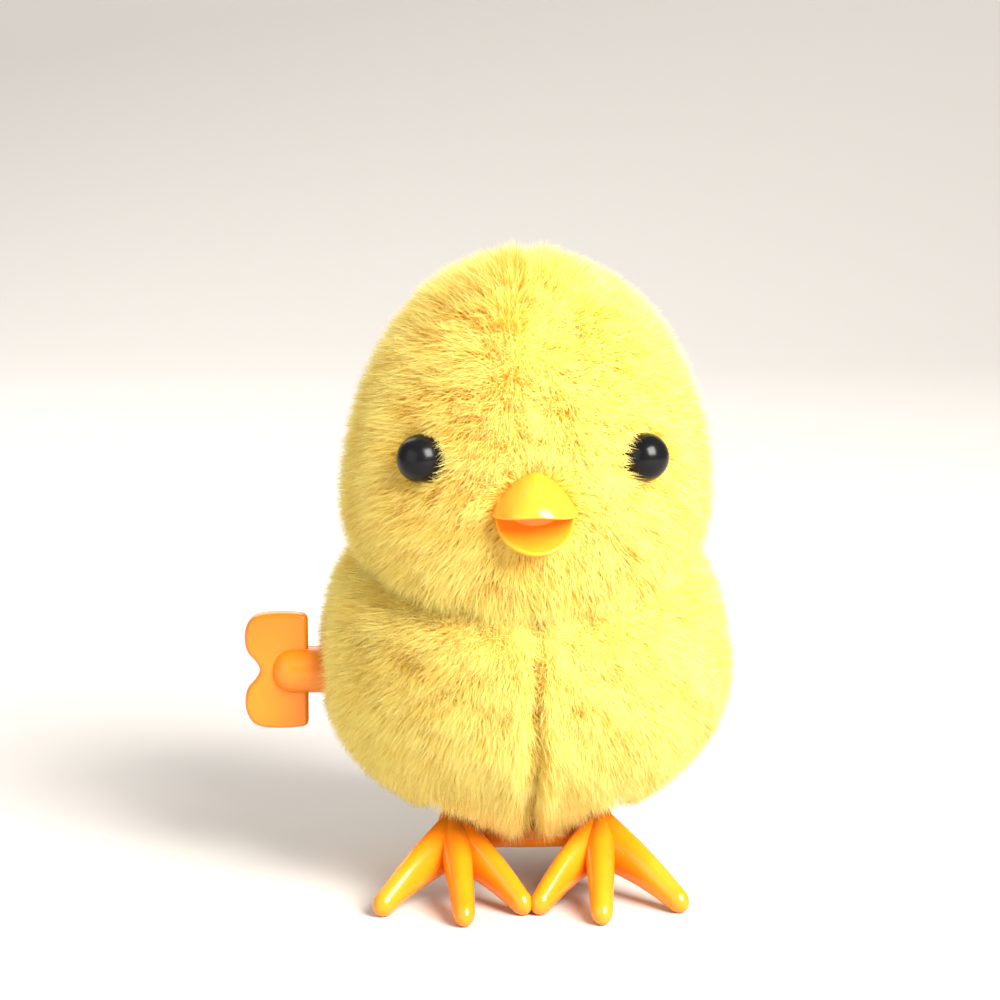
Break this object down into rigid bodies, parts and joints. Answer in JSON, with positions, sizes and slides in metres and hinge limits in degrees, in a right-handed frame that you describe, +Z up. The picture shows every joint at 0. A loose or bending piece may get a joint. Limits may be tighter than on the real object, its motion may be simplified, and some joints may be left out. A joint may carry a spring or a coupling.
{
  "type": "wind-up hopping chick",
  "caption": "Plush toy chick on a wind-up clockwork: a side key turns a gear train whose cam kicks the moulded feet, so the bird hops.",
  "frame": {"origin": "on the ground, in the middle plane, under the flat pad where the two inner toes meet", "axes": "+Z up, -Y the way the beak looks, +X the chick's left; the winding key is on -X"},
  "size_m": [0.0721, 0.0696, 0.0958],
  "materials": {
    "plush": "short combed pile",
    "filling": "loose polyester fibre",
    "orange_plastic": "glossy moulded",
    "beak_plastic": "glossy moulded",
    "black_plastic": "polished",
    "washer_plastic": "moulded",
    "casing_plastic": "moulded",
    "gear_plastic": "natural acetal",
    "steel": "bright",
    "spring_steel": "blued"
  },
  "bodies": {
    "body": {"head_panel_left": "plush", "head_panel_right": "plush", "chest_panel_left": "plush", "chest_panel_right": "plush", "back_panel": "plush", "head_filling": "filling", "body_filling": "filling", "eye_left": "black_plastic", "eye_right": "black_plastic", "eye_washer_left": "washer_plastic", "eye_washer_right": "washer_plastic", "beak": "beak_plastic", "beak_washer": "washer_plastic", "gearbox_left": "casing_plastic", "gearbox_right": "casing_plastic", "gearbox_screws": "steel", "mainspring": "spring_steel", "return_spring": "spring_steel", "leg_pin": "steel"},
    "winder": {"winding_key": "orange_plastic", "winding_arbor": "steel", "ratchet_wheel": "steel", "ratchet_pawl": "gear_plastic", "drive_gear": "gear_plastic"},
    "idler": {"idler_gear": "gear_plastic", "idler_shaft": "steel"},
    "cam": {"cam_gear": "gear_plastic", "cam_shaft": "steel"},
    "feet": {"feet": "orange_plastic"}
  },
  "joints": [
    {"name": "key_turn", "type": "hinge", "parent": "body", "child": "winder", "pos_m": [0, 0.021, 0.0325], "axis": [1, 0, 0], "continuous": true},
    {"name": "idler_spin", "type": "hinge", "parent": "body", "child": "idler", "pos_m": [0, 0.03139, 0.0265], "axis": [1, 0, 0], "continuous": true},
    {"name": "cam_spin", "type": "hinge", "parent": "body", "child": "cam", "pos_m": [0, 0.02279, 0.02048], "axis": [1, 0, 0], "continuous": true},
    {"name": "leg_swing", "type": "hinge", "parent": "body", "child": "feet", "pos_m": [0, 0.0305, 0.0148], "axis": [1, 0, 0], "range_deg": [0, 20], "stiffness_Nm_per_rad": 0.02, "springref_deg": -17.19, "deforming": ["return_spring"]}
  ],
  "couplings": [
    {"joint": "idler_spin", "follows": "key_turn", "ratio": -3},
    {"joint": "cam_spin", "follows": "key_turn", "ratio": 7.5}
  ]
}
